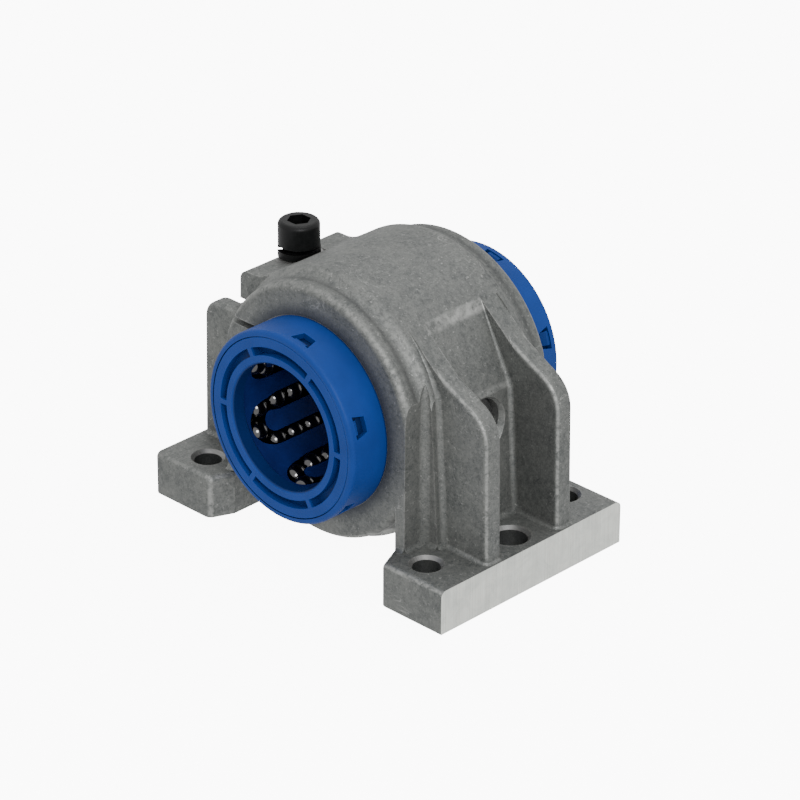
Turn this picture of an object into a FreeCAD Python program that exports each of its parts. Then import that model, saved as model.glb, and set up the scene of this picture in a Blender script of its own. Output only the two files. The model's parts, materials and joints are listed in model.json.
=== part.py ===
import FreeCAD, Part
import math
import os
import re
import Sketcher

# Linear bearing block: a cast housing on two feet that clamps a closed ball bushing.
# Millimetres. +Z up, +Y along the shaft, -X the slotted side, +X the machined reference side.
# The origin lies on the mounting plane, straight under the middle of the bore.

SIZES = {
    # feet and mounting holes
    "foot_reach": 14.3,
    "foot_overhang": 7.0,
    "foot_height": 11.0,
    "arch_wall": 2.5,
    "foot_taper_length": 6.0,
    "foot_taper_inset": 2.6,
    "machining_allowance": 2.0,
    "cast_round": 2.0,
    "foot_rim_round": 1.6,
    "corner_hole_inset_x": 11.5,
    "corner_hole_inset_y": 7.0,
    "corner_hole_dia": 6.6,
    "centre_hole_inset": 7.0,
    "centre_hole_dia": 8.0,
    "foot_hole_chamfer": 0.8,
    # barrel of the housing
    "barrel_lift": 3.3,
    "collar_wall": 7.7,
    "collar_side_wall": 5.5,
    "collar_reach": 6.4,
    "collar_root_radius": 3.0,
    "body_step": 1.8,
    "body_shoulder": 2.35,
    "body_side_wall": 9.7,
    "body_flare": 1.2,
    "body_round": 2.0,
    "body_draft": 3.6,
    "run_out_sink": 0.05,
    "bore_clearance": 0.02,
    # ribs and the pockets between them
    "rib_gap": 18.5,
    "rib_thickness": 5.0,
    "rib_setback": 1.1,
    "rib_sink": 1.0,
    "rib_draft": 1.0,
    "rib_slope": 27.0,
    "rib_slope_depth": 3.3,
    "rib_knee_radius": 9.0,
    "run_out_slope": 40.0,
    "rib_ledge_drop": 4.3,
    "rib_ledge_radius": 4.5,
    "rib_round": 1.2,
    "pocket_flat_angle": 28.0,
    "pocket_flat_depth": 2.3,
    # clamping ear, slot and adjusting screw
    "slot_rise": 14.5,
    "slot_width": 1.5,
    "ear_thickness": 8.2,
    "ear_setback": 0.9,
    "ear_inset": 1.5,
    "ear_slope": 33.0,
    "ear_round": 2.5,
    "ear_root_radius": 8.0,
    "screw_wall": 4.7,
    "spot_face_dia": 12.5,
    "screw_clear_dia": 6.6,
    "tapped_hole_depth": 10.8,
    "screw_dia": 6.0,
    "screw_length": 20.0,
    "screw_tip_chamfer": 0.7,
    "screw_head_dia": 10.0,
    "screw_head_height": 6.0,
    "screw_head_round": 1.1,
    "screw_socket_flats": 5.0,
    "screw_socket_depth": 3.0,
    "thread_clearance": 0.05,
    "washer_inner_dia": 6.2,
    "washer_outer_dia": 10.2,
    "washer_thickness": 1.6,
    "washer_free_height": 3.0,
    "washer_turn": 345.0,
    "washer_gap_angle": -128.0,
    # locating screw in the side wall
    "port_dia": 12.0,
    "port_chamfer": 1.0,
    "locator_gap": 0.7,
    "locator_length": 4.6,
    "locator_chamfer": 0.5,
    "locator_dog_dia": 3.0,
    "locator_dog_gap": 0.3,
    "locator_socket_flats": 6.0,
    "locator_socket_depth": 2.8,
    "locator_vent_dia": 1.2,
    # ball bushing
    "shaft_diameter": 30.0,
    "bushing_length": 68.0,
    "sleeve_wall": 1.5,
    "sleeve_round": 1.0,
    "cap_clearance": 0.1,
    "cap_thickness": 4.0,
    "cap_skirt_length": 1.8,
    "cap_skirt_wall": 1.3,
    "cap_bore_gap": 0.5,
    "cap_bore_chamfer": 0.5,
    "cap_rim_chamfer": 0.2,
    "cap_inner_wall": 2.0,
    "cap_slot_width": 2.0,
    "cap_slot_depth": 2.5,
    "cap_bridge": 1.3,
    "lug_angle": 18.5,
    "lug_width": 3.2,
    "lug_length": 2.0,
    "lug_height": 1.3,
    "lug_ramp": 1.3,
    "window_length": 3.4,
    "window_end_gap": 1.9,
    "window_width_inside": 3.7,
    "window_width_outside": 5.5,
    # ball circuits, load plates and retainer
    "circuit_count": 6,
    "circuit_angle": 28.0,
    "ball_diameter": 5.5,
    "ball_gap": 0.03,
    "track_clearance": 0.1,
    "turn_radius": 4.6,
    "lane_end_gap": 11.6,
    "ramp_length": 2.7,
    "retainer_bore_gap": 1.0,
    "retainer_end_gap": 0.05,
    "plate_thickness": 3.0,
    "plate_end_gap": 11.5,
    "plate_width_angle": 16.0,
    "plate_ramp_length": 3.5,
    "plate_ramp_depth": 0.7,
    "plate_clearance": 0.1,
}

# lengths that follow from the sizes and that several pieces share
DERIVED = {
    "bushing_radius": "shaft_diameter / 2 + ball_diameter + plate_thickness",
    "body_length": "rib_gap + 2 * rib_thickness + 2 * body_shoulder",
    "collar_length": "body_length + 2 * collar_reach",
    "base_length": "collar_length + 2 * foot_overhang",
    "collar_radius": "bushing_radius + collar_wall",
    "body_radius": "collar_radius + body_step",
    "axis_height": "body_radius + barrel_lift",
    "slot_height": "axis_height + slot_rise",
    "ear_top": "slot_height + ear_thickness",
    "rib_ledge_height": "slot_height - rib_ledge_drop",
    "foot_gap": "2 * (bushing_radius + arch_wall)",
    "collar_width": "2 * (bushing_radius + collar_side_wall)",
    "body_width": "2 * (bushing_radius + body_side_wall)",
    "base_width": "body_width + 2 * foot_reach",
    "rib_reach": "base_width / 2 - rib_setback",
    "rib_slope_distance": "body_radius - rib_slope_depth",
    "pocket_flat_distance": "body_radius - pocket_flat_depth",
    "ear_reach": "body_width / 2 - ear_setback",
    "ear_root": "bushing_radius / 2",
    "screw_offset": "bushing_radius + screw_wall",
    "head_seat": "ear_top + washer_free_height",
    "bore_radius": "bushing_radius + bore_clearance",
    "sleeve_inner": "bushing_radius - sleeve_wall",
    "cap_outer": "sleeve_inner - cap_clearance",
    "cap_inside": "bushing_length / 2 - cap_thickness",
    "skirt_end": "cap_inside - cap_skirt_length",
    "cap_bore": "shaft_diameter / 2 + cap_bore_gap",
    "cap_slot_inner": "cap_bore + cap_inner_wall",
    "cap_slot_outer": "cap_slot_inner + cap_slot_width",
    "track_radius": "shaft_diameter / 2 + ball_diameter / 2",
    "raceway_radius": "shaft_diameter / 2 + ball_diameter",
    "lane_half_length": "bushing_length / 2 - lane_end_gap",
    "lane_angle": "atan(turn_radius / track_radius) / 1 deg",
    "circuit_pitch": "360 / circuit_count",
    "loaded_angle": "circuit_angle - lane_angle",
    "plate_length": "bushing_length - 2 * plate_end_gap",
    "plate_window_angle": "plate_width_angle + 2 * plate_clearance / bushing_radius * 180 / pi",
    "locator_seat": "bushing_radius + locator_gap",
    "dog_length": "locator_seat - sleeve_inner - locator_dog_gap",
}

document = FreeCAD.newDocument("linear_bearing_block")
sheet = document.addObject("Spreadsheet::Sheet", "sizes")
for row, (alias, number) in enumerate(SIZES.items(), start=1):
    sheet.set("A%d" % row, alias)
    sheet.set("B%d" % row, str(number))
    sheet.setAlias("B%d" % row, alias)
document.recompute()

Y_AXIS = FreeCAD.Vector(0, 1, 0)
Z_AXIS = FreeCAD.Vector(0, 0, 1)
X_AXIS = FreeCAD.Vector(1, 0, 0)
CUT_MARGIN = "2"


def spelled(formula):
    """the formula with each derived length written out and each size's name pointing at its cell"""
    def cell(found):
        word = found.group(0)
        if word in DERIVED:
            return "(%s)" % spelled(DERIVED[word])
        return "sizes." + word if word in SIZES else word
    return re.sub(r"[A-Za-z_][A-Za-z_0-9]*", cell, str(formula))


def value(formula):
    """the number that a formula of sizes gives"""
    return float(sheet.evalExpression(spelled(formula)))


def bind(thing, field, formula):
    """ties one field of an object to a formula of sizes"""
    thing.setExpression(field, spelled(formula))


# fineness of the search for the balls' places
PATH_SAMPLES = 4000
PITCH_STEPS = 40


def new_body(name):
    body = document.addObject("PartDesign::Body", name)
    body.Label = name
    return body


def new_sketch(body, name, role):
    """an empty sketch on one of the body's own origin planes"""
    sketch = body.newObject("Sketcher::SketchObject", name)
    plane = [item for item in body.Origin.OriginFeatures if item.Role == role][0]
    sketch.AttachmentSupport = [(plane, "")]
    sketch.MapMode = "FlatFace"
    return sketch


def lift_sketch(sketch, formula):
    """moves a sketch along its own normal"""
    bind(sketch, "AttachmentOffset.Base.z", formula)


def spin_sketch(sketch, formula):
    """turns a sketch about its own upright axis, so about the bushing's axis"""
    sketch.AttachmentOffset = FreeCAD.Placement(FreeCAD.Vector(), FreeCAD.Rotation(Y_AXIS, 1))
    bind(sketch, "AttachmentOffset.Rotation.Angle", formula)


def draw_outline(sketch, corners):
    """a closed outline of straight lines, each corner a pair of formulas"""
    first = sketch.GeometryCount
    points = [FreeCAD.Vector(value(across), value(up), 0) for across, up in corners]
    count = len(corners)
    for index in range(count):
        sketch.addGeometry(Part.LineSegment(points[index], points[(index + 1) % count]), False)
    for index, (across, up) in enumerate(corners):
        line = first + index
        following = first + (index + 1) % count
        sketch.addConstraint(Sketcher.Constraint("Coincident", line, 2, following, 1))
        for kind, formula in (("DistanceX", across), ("DistanceY", up)):
            rule = Sketcher.Constraint(kind, -1, 1, line, 1, value(formula))
            number = sketch.addConstraint(rule)
            bind(sketch, "Constraints[%d]" % number, formula)


def draw_circle(sketch, across, up, radius):
    centre = FreeCAD.Vector(value(across), value(up), 0)
    circle = sketch.addGeometry(Part.Circle(centre, Z_AXIS, value(radius)), False)
    rules = (
        (Sketcher.Constraint("DistanceX", -1, 1, circle, 3, value(across)), across),
        (Sketcher.Constraint("DistanceY", -1, 1, circle, 3, value(up)), up),
        (Sketcher.Constraint("Radius", circle, value(radius)), radius),
    )
    for rule, formula in rules:
        number = sketch.addConstraint(rule)
        bind(sketch, "Constraints[%d]" % number, formula)


def rectangle(left, right, low, high):
    return [(left, low), (right, low), (right, high), (left, high)]


def extrude(body, sketch, kind, length, both_ways=False, reverse=False):
    """a Pad or a Pocket of the sketch"""
    feature = body.newObject("PartDesign::" + kind, sketch.Name + "_" + kind.lower())
    feature.Profile = sketch
    feature.SideType = "Symmetric" if both_ways else "One side"
    feature.Reversed = reverse
    bind(feature, "Length", length)
    return feature


def turn(body, sketch, kind, angle="360", axis="V_Axis"):
    """a Revolution or a Groove of the sketch about its upright or its level axis"""
    feature = body.newObject("PartDesign::" + kind, sketch.Name + "_" + kind.lower())
    feature.Profile = sketch
    feature.ReferenceAxis = (sketch, [axis])
    feature.Midplane = True
    bind(feature, "Angle", angle)
    return feature


def repeat_round(body, features, name, count="circuit_count"):
    """copies features evenly round the body's Z axis"""
    pattern = body.newObject("PartDesign::PolarPattern", name)
    pattern.Originals = features
    axis = [item for item in body.Origin.OriginFeatures if item.Role == "Z_Axis"][0]
    pattern.Axis = (axis, [""])
    pattern.Angle = 360
    bind(pattern, "Occurrences", count)
    body.Tip = pattern
    return pattern


def middle(edge):
    return edge.valueAt((edge.FirstParameter + edge.LastParameter) / 2)


def near(first, second):
    return abs(first - second) < 0.01


def dress(body, name, kind, size, wanted):
    """a Fillet or a Chamfer on the edges that the test picks"""
    document.recompute()
    base = body.Tip
    names = ["Edge%d" % number for number, edge in enumerate(base.Shape.Edges, start=1) if wanted(edge)]
    if not names:
        raise RuntimeError("no edge found for " + name)
    feature = body.newObject("PartDesign::" + kind, name)
    feature.Base = (base, names)
    bind(feature, "Radius" if kind == "Fillet" else "Size", size)
    return feature


def is_circle(edge, radius):
    return isinstance(edge.Curve, Part.Circle) and near(edge.Curve.Radius, radius)


# Housing

def mirrored(corners):
    """the same outline on the other side of the shaft"""
    return [("-(%s)" % across, up) for across, up in corners]


def make_feet(body):
    """two tapered feet, cast with round edges"""
    inner = "foot_gap / 2"
    tapered = "foot_gap / 2 + foot_taper_inset"
    far = "base_length / 2"
    start = "base_length / 2 - foot_taper_length"
    right = "base_width / 2 + machining_allowance"
    left = "base_width / 2"
    sketch = new_sketch(body, "feet", "XY_Plane")
    for outer, flip in ((right, False), (left, True)):
        corners = [
            (inner, "-(%s)" % start), (tapered, "-(%s)" % far), (outer, "-(%s)" % far),
            (outer, far), (tapered, far), (inner, start),
        ]
        draw_outline(sketch, mirrored(corners) if flip else corners)
    extrude(body, sketch, "Pad", "foot_height")
    dress(body, "feet_corners", "Fillet", "cast_round", is_foot_corner)
    dress(body, "feet_top_edges", "Fillet", "foot_rim_round", is_foot_top)


def is_foot_corner(edge):
    """an upright edge at an outer corner of a foot"""
    box = edge.BoundBox
    upright = box.XLength < 0.01 and box.YLength < 0.01
    return upright and abs(box.Center.x) > value("foot_gap / 2 + foot_taper_inset") - 0.01


def is_foot_top(edge):
    """the rim of a foot's top, apart from the straight run beside the arch"""
    box = edge.BoundBox
    on_top = near(box.ZMin, value("foot_height")) and near(box.ZMax, value("foot_height"))
    beside_arch = box.XLength < 0.01 and near(abs(box.Center.x), value("foot_gap / 2"))
    return on_top and not beside_arch


def make_barrel(body):
    """the long, narrow collar and the short, thick barrel, which blend into each other"""
    sketch = new_sketch(body, "collar", "XZ_Plane")
    draw_circle(sketch, "0", "axis_height", "collar_radius")
    extrude(body, sketch, "Pad", "collar_length", both_ways=True)
    collar = value("collar_radius")
    dress(body, "collar_round", "Fillet", "cast_round", lambda edge: is_circle(edge, collar))
    sketch = new_sketch(body, "barrel", "YZ_Plane")
    bind(sketch, "AttachmentOffset.Base.y", "axis_height")
    inside = "(collar_radius - %s)" % CUT_MARGIN
    end = "(body_length / 2 + body_flare + %s)" % CUT_MARGIN
    shoulder = "(body_length / 2 + body_flare - body_step)"
    draw_outline(sketch, [
        ("-" + end, "0"), (end, "0"), (end, inside), (shoulder, "body_radius"),
        ("-" + shoulder, "body_radius"), ("-" + end, inside),
    ])
    turn(body, sketch, "Revolution", axis="H_Axis")
    barrel = value("body_radius")
    dress(body, "barrel_round", "Fillet", "body_round", lambda edge: is_circle(edge, barrel))
    flare_end = value("body_length / 2 + body_flare")
    dress(body, "collar_root", "Fillet", "collar_root_radius",
          lambda edge: is_circle(edge, collar) and near(abs(middle(edge).y), flare_end))


def make_collar_sides(body):
    """the collar is flat at both sides in front of and behind the walls, above its legs"""
    reach = "body_radius + " + CUT_MARGIN
    for end, side in (("front", ""), ("rear", "-")):
        flats = new_sketch(body, end + "_collar_flats", "XZ_Plane")
        lift_sketch(flats, side + "body_length / 2")
        draw_outline(flats, rectangle("collar_width / 2", reach, "foot_height", "axis_height + " + reach))
        draw_outline(flats, rectangle("-(%s)" % reach, "-collar_width / 2", "foot_height", "axis_height + " + reach))
        extrude(body, flats, "Pocket", "collar_reach + " + CUT_MARGIN, reverse=not side)
    legs = new_sketch(body, "collar_legs", "XZ_Plane")
    draw_outline(legs, rectangle("foot_gap / 2", "collar_width / 2", "0", "axis_height"))
    draw_outline(legs, rectangle("-collar_width / 2", "-foot_gap / 2", "0", "axis_height"))
    extrude(body, legs, "Pad", "collar_length", both_ways=True)


def side_at(height):
    """how far the drafted right wall stands from the middle at a height"""
    return "(body_width / 2 - (%s - foot_height) * tan(body_draft))" % height


def ear_side_at(height):
    """how far the left wall stands from the middle at a height, up to the ear's end"""
    run = "(body_width / 2 - ear_reach) / (ear_top - foot_height)"
    return "(body_width / 2 - (%s - foot_height) * %s)" % (height, run)


def make_walls(body):
    """the barrel's sides are trimmed to drafted walls, which stand on the feet"""
    top = "axis_height + body_radius"
    beyond = "body_radius + " + CUT_MARGIN
    trim = new_sketch(body, "barrel_sides", "XZ_Plane")
    draw_outline(trim, [
        (side_at("foot_height"), "foot_height"), (beyond, "foot_height"),
        (beyond, top), (side_at(top), top),
    ])
    draw_outline(trim, mirrored([
        (ear_side_at("foot_height"), "foot_height"), (beyond, "foot_height"),
        (beyond, "ear_top"), ("ear_reach", "ear_top"),
    ]))
    extrude(body, trim, "Pocket", "body_length + " + CUT_MARGIN, both_ways=True)
    walls = new_sketch(body, "side_walls", "XZ_Plane")
    draw_outline(walls, [
        ("foot_gap / 2", "0"), ("body_width / 2", "0"), ("body_width / 2", "foot_height"),
        (side_at("axis_height"), "axis_height"), ("foot_gap / 2", "axis_height"),
    ])
    draw_outline(walls, mirrored([
        ("foot_gap / 2", "0"), ("body_width / 2", "0"), ("body_width / 2", "foot_height"),
        (ear_side_at("slot_height"), "slot_height"), ("foot_gap / 2", "slot_height"),
    ]))
    extrude(body, walls, "Pad", "body_length", both_ways=True)


def make_ear(body):
    """the clamping ear over the slot, whose flat top sweeps up into the barrel"""
    distance = "(body_radius - run_out_sink)"
    corner = "((%s - (ear_top - axis_height) * cos(ear_slope)) / sin(ear_slope))" % distance
    sketch = new_sketch(body, "ear", "XZ_Plane")
    draw_outline(sketch, mirrored([
        ("ear_root", "slot_height"), (ear_side_at("slot_height"), "slot_height"), ("ear_reach", "ear_top"),
        (corner, "ear_top"), (distance + " * sin(ear_slope)", "axis_height + %s * cos(ear_slope)" % distance),
    ]))
    extrude(body, sketch, "Pad", "body_length - 2 * ear_inset", both_ways=True)
    top = value("ear_top")
    for name, size, across in (("ear_corner", "ear_round", "ear_reach"), ("ear_blend", "ear_root_radius", corner)):
        place = -value(across)
        dress(body, name, "Fillet", size,
              lambda edge: near(middle(edge).z, top) and near(middle(edge).x, place))


def slope_height(across):
    """height of the right ribs' sloping top at a distance from the middle"""
    fall = "(rib_slope_distance - (%s) * sin(rib_slope)) / cos(rib_slope)" % across
    return "(axis_height + %s)" % fall


def rib_side_at(height):
    return "(rib_reach - (%s - foot_height) * tan(rib_draft))" % height


def make_ribs(body):
    """one thick block on each side, rounded at its knee, then parted by a pocket"""
    inner = "(collar_width / 2 - rib_sink)"
    low = "foot_height / 2"
    root = "sleeve_inner"
    knee_height = slope_height("rib_reach")
    # the slope steepens before it runs out on the barrel
    run_out = "(body_radius - run_out_sink)"
    bend = ("((%s * cos(rib_slope) - rib_slope_distance * cos(run_out_slope))"
            " / (sin(run_out_slope) * cos(rib_slope) - sin(rib_slope) * cos(run_out_slope)))" % run_out)
    sketch = new_sketch(body, "ribs", "XZ_Plane")
    draw_outline(sketch, [
        (inner, low), (rib_side_at(low), low), (rib_side_at(knee_height), knee_height),
        (bend, slope_height(bend)),
        (run_out + " * sin(run_out_slope)", "axis_height + %s * cos(run_out_slope)" % run_out),
        (root, "axis_height"), (inner, "axis_height"),
    ])
    ledge = "rib_ledge_height"
    draw_outline(sketch, mirrored([
        (inner, low), (rib_side_at(low), low), (rib_side_at(ledge), ledge), (inner, ledge),
    ]))
    extrude(body, sketch, "Pad", "rib_gap + 2 * rib_thickness", both_ways=True)
    knee_x = value(rib_side_at(knee_height))
    knee_z = value(knee_height)
    dress(body, "rib_knee", "Fillet", "rib_knee_radius",
          lambda edge: near(middle(edge).x, knee_x) and near(middle(edge).z, knee_z))
    ledge_x = -value(rib_side_at(ledge))
    ledge_z = value(ledge)
    dress(body, "rib_ledge", "Fillet", "rib_ledge_radius",
          lambda edge: near(middle(edge).x, ledge_x) and near(middle(edge).z, ledge_z))


def make_pockets(body):
    """the pocket between each pair of ribs, for the middle bolt and its key"""
    beyond = "base_width / 2"
    floor = "foot_height"
    # the sloping flat meets the drafted wall at this height above the bore's axis
    wall_x = side_at("axis_height")
    rise = ("(pocket_flat_distance - %s * cos(pocket_flat_angle))"
            " / (sin(pocket_flat_angle) - tan(body_draft) * cos(pocket_flat_angle))" % wall_x)
    knee = "(axis_height + %s)" % rise
    top = "axis_height + body_radius"
    flat_top = "(pocket_flat_distance - body_radius * sin(pocket_flat_angle)) / cos(pocket_flat_angle)"
    sketch = new_sketch(body, "right_pocket", "XZ_Plane")
    draw_outline(sketch, [
        (side_at(floor), floor), (beyond, floor), (beyond, top), (flat_top, top), (side_at(knee), knee),
    ])
    extrude(body, sketch, "Pocket", "rib_gap", both_ways=True)
    sketch = new_sketch(body, "left_pocket", "XZ_Plane")
    draw_outline(sketch, mirrored([
        (ear_side_at(floor), floor), (beyond, floor), (beyond, "ear_top"), ("ear_reach", "ear_top"),
    ]))
    extrude(body, sketch, "Pocket", "rib_gap", both_ways=True)


def is_rib_rim(edge):
    """an edge round a rib's free outline, on either of its sides"""
    box = edge.BoundBox
    level = abs(box.Center.y)
    on_side = near(level, value("rib_gap / 2")) or near(level, value("rib_gap / 2 + rib_thickness"))
    place = middle(edge)
    wall = value(side_at(place.z)) if place.x > 0 else value(ear_side_at(place.z))
    clear = abs(place.x) > wall + value("rib_round")
    return box.YLength < 0.01 and on_side and clear and place.z > value("foot_height + rib_round")


def make_bore_and_slot(body):
    bore = new_sketch(body, "bore", "XZ_Plane")
    draw_circle(bore, "0", "axis_height", "bore_radius")
    extrude(body, bore, "Pocket", "collar_length + " + CUT_MARGIN, both_ways=True)
    slot = new_sketch(body, "slot", "XZ_Plane")
    low = "slot_height - slot_width / 2"
    high = "slot_height + slot_width / 2"
    draw_outline(slot, rectangle("-base_width / 2", "-ear_root", low, high))
    extrude(body, slot, "Pocket", "collar_length + " + CUT_MARGIN, both_ways=True)


def drill_down(body, name, across, along, dia, top, depth, reverse=False):
    """a round pocket from a level plane, downwards unless reversed"""
    sketch = new_sketch(body, name, "XY_Plane")
    lift_sketch(sketch, top)
    draw_circle(sketch, across, along, "(%s) / 2" % dia)
    return extrude(body, sketch, "Pocket", depth, reverse=reverse)


def make_screw_seat(body):
    across = "-screw_offset"
    drill_down(body, "spot_face", across, "0", "spot_face_dia", "ear_top", "body_radius", reverse=True)
    drill_down(body, "ear_hole", across, "0", "screw_clear_dia", "ear_top", "ear_top - slot_height")
    drill_down(body, "tapped_hole", across, "0", "screw_dia + 2 * thread_clearance", "slot_height",
               "tapped_hole_depth")


def make_foot_holes(body):
    depth = "foot_height + " + CUT_MARGIN
    sketch = new_sketch(body, "corner_holes", "XY_Plane")
    across = "(base_width / 2 - corner_hole_inset_x)"
    along = "(base_length / 2 - corner_hole_inset_y)"
    for side in ("", "-"):
        for end in ("", "-"):
            draw_circle(sketch, side + across, end + along, "corner_hole_dia / 2")
    extrude(body, sketch, "Pocket", depth, reverse=True)
    sketch = new_sketch(body, "centre_holes", "XY_Plane")
    for side in ("", "-"):
        draw_circle(sketch, side + "(base_width / 2 - centre_hole_inset)", "0", "centre_hole_dia / 2")
    extrude(body, sketch, "Pocket", depth, reverse=True)
    radii = (value("corner_hole_dia / 2"), value("centre_hole_dia / 2"))
    level = value("foot_height")
    dress(body, "foot_hole_chamfers", "Chamfer", "foot_hole_chamfer",
          lambda edge: near(middle(edge).z, level) and any(is_circle(edge, radius) for radius in radii))


def make_port(body):
    """the side hole that takes the locating screw, countersunk at the wall"""
    sketch = new_sketch(body, "port", "XZ_Plane")
    bind(sketch, "AttachmentOffset.Base.y", "axis_height")
    radius = "port_dia / 2"
    flare = "(%s - port_chamfer)" % side_at("axis_height")
    beyond = "(body_width / 2)"
    draw_outline(sketch, [
        ("0", "0"), (beyond, "0"), (beyond, "%s + %s - %s" % (radius, beyond, flare)),
        (flare, radius), ("0", radius),
    ])
    turn(body, sketch, "Groove", axis="H_Axis")


def machine_side(body):
    """the right foot is milled flat, square to the base, as a reference edge"""
    sketch = new_sketch(body, "reference_side", "XZ_Plane")
    near_side = "base_width / 2"
    far_side = "base_width / 2 + machining_allowance + " + CUT_MARGIN
    draw_outline(sketch, rectangle(near_side, far_side, "-" + CUT_MARGIN, "foot_height + " + CUT_MARGIN))
    extrude(body, sketch, "Pocket", "base_length + " + CUT_MARGIN, both_ways=True)


def make_housing():
    body = new_body("housing")
    make_feet(body)
    make_barrel(body)
    make_collar_sides(body)
    make_walls(body)
    make_ear(body)
    make_ribs(body)
    make_pockets(body)
    dress(body, "rib_rims", "Fillet", "rib_round", is_rib_rim)
    make_bore_and_slot(body)
    make_screw_seat(body)
    make_foot_holes(body)
    make_port(body)
    machine_side(body)
    return body


parts = [make_housing()]


# Ball bushing. Its pieces are drawn about their own Z axis, which is laid along the shaft.

def lay_along_shaft(thing, spin="0", flipped=False):
    """puts a bushing piece on the bore's axis, its outer end to the front or the back"""
    to_front = FreeCAD.Rotation(X_AXIS, 90)
    flip = FreeCAD.Rotation(X_AXIS, 180 if flipped else 0)
    thing.Placement.Rotation = to_front * flip * FreeCAD.Rotation(Z_AXIS, value(spin))
    bind(thing, "Placement.Base.z", "axis_height")


def make_outer_sleeve():
    """thin outer tube with windows for the load plates and for the caps' lugs"""
    body = new_body("outer_sleeve")
    half = "bushing_length / 2"
    wall = new_sketch(body, "sleeve_wall", "XZ_Plane")
    draw_outline(wall, rectangle("sleeve_inner", "bushing_radius", "-%s" % half, half))
    turn(body, wall, "Revolution")
    radius = value("bushing_radius")
    dress(body, "sleeve_rims", "Fillet", "sleeve_round", lambda edge: is_circle(edge, radius))
    inside = "sleeve_inner - " + CUT_MARGIN
    outside = "bushing_radius + " + CUT_MARGIN
    reach = "plate_length / 2 + plate_clearance"
    plate = new_sketch(body, "plate_window", "XZ_Plane")
    draw_outline(plate, rectangle(inside, outside, "-(%s)" % reach, reach))
    spin_sketch(plate, "loaded_angle")
    windows = [turn(body, plate, "Groove", "plate_window_angle")]
    for name, side in (("front_lug_window", ""), ("rear_lug_window", "-")):
        far = "(bushing_length / 2 - window_end_gap)"
        close = "(%s - window_length)" % far
        wide = "window_width_outside / 2"
        narrow = "window_width_inside / 2"
        sketch = new_sketch(body, name, "YZ_Plane")
        draw_outline(sketch, [
            ("-" + narrow, side + close), (narrow, side + close), (wide, side + far), ("-" + wide, side + far),
        ])
        spin_sketch(sketch, "lug_angle")
        windows.append(extrude(body, sketch, "Pocket", outside, reverse=True))
    repeat_round(body, windows, "windows_round")
    key = new_sketch(body, "dog_hole", "YZ_Plane")
    draw_circle(key, "0", "0", "locator_dog_dia / 2 + thread_clearance")
    extrude(body, key, "Pocket", outside, reverse=True)
    lay_along_shaft(body)
    return body


def make_end_cap(name, flipped):
    """moulded ring that closes the ball turns and snaps into the sleeve"""
    body = new_body(name)
    face = "bushing_length / 2"
    skirt_inner = "cap_outer - cap_skirt_wall"
    ring = new_sketch(body, name + "_ring", "XZ_Plane")
    draw_outline(ring, [
        ("cap_bore", "cap_inside"), (skirt_inner, "cap_inside"), (skirt_inner, "skirt_end"),
        ("cap_outer", "skirt_end"), ("cap_outer", face), ("cap_bore", face),
    ])
    turn(body, ring, "Revolution")
    bore = value("cap_bore")
    rim = value("cap_outer")
    level = value(face)
    dress(body, name + "_bore_edge", "Chamfer", "cap_bore_chamfer", lambda edge: is_circle(edge, bore))
    dress(body, name + "_rim_edge", "Chamfer", "cap_rim_chamfer",
          lambda edge: is_circle(edge, rim) and near(middle(edge).z, level))
    recess = new_sketch(body, name + "_recess", "XZ_Plane")
    draw_outline(recess, rectangle("cap_slot_inner", "cap_slot_outer",
                                   "%s - cap_slot_depth" % face, "%s + %s" % (face, CUT_MARGIN)))
    spin_sketch(recess, "circuit_pitch / 2")
    bridge_angle = "2 * cap_bridge / (cap_slot_inner + cap_slot_outer) * 180 / pi"
    groove = turn(body, recess, "Groove", "circuit_pitch - " + bridge_angle)
    repeat_round(body, [groove], name + "_recesses")
    catch = "(%s - window_end_gap - cap_clearance)" % face
    root = "cap_outer - cap_skirt_wall / 2"
    lug = new_sketch(body, name + "_lug", "XZ_Plane")
    draw_outline(lug, [
        (root, "%s - lug_length" % catch), ("cap_outer", "%s - lug_length" % catch),
        ("cap_outer + lug_height", "%s - lug_length + lug_ramp" % catch),
        ("cap_outer + lug_height", catch), (root, catch),
    ])
    spin_sketch(lug, "lug_angle")
    block = turn(body, lug, "Revolution", "lug_width / cap_outer * 180 / pi")
    repeat_round(body, [block], name + "_lugs")
    lay_along_shaft(body, "-2 * lug_angle" if flipped else "0", flipped)
    return body


def make_load_plate(index):
    """hardened steel segment that backs the loaded row of balls"""
    body = new_body("load_plate_%d" % (index + 1))
    half = "plate_length / 2"
    flat = "(plate_length / 2 - plate_ramp_length)"
    outer = "bushing_radius"
    lifted = "raceway_radius + plate_ramp_depth"
    sketch = new_sketch(body, body.Name + "_section", "XZ_Plane")
    draw_outline(sketch, [
        ("raceway_radius", "-" + flat), (lifted, "-" + half), (outer, "-" + half),
        (outer, half), (lifted, half), ("raceway_radius", flat),
    ])
    turn(body, sketch, "Revolution", "plate_width_angle")
    lay_along_shaft(body, "loaded_angle + %d * circuit_pitch" % index)
    return body


def circuit_frame(index):
    """outward and sideways directions at the middle of a circuit"""
    angle = math.radians(value("circuit_angle + %d * circuit_pitch" % index))
    outward = FreeCAD.Vector(math.cos(angle), math.sin(angle), 0)
    sideways = FreeCAD.Vector(-math.sin(angle), math.cos(angle), 0)
    return outward, sideways


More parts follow.
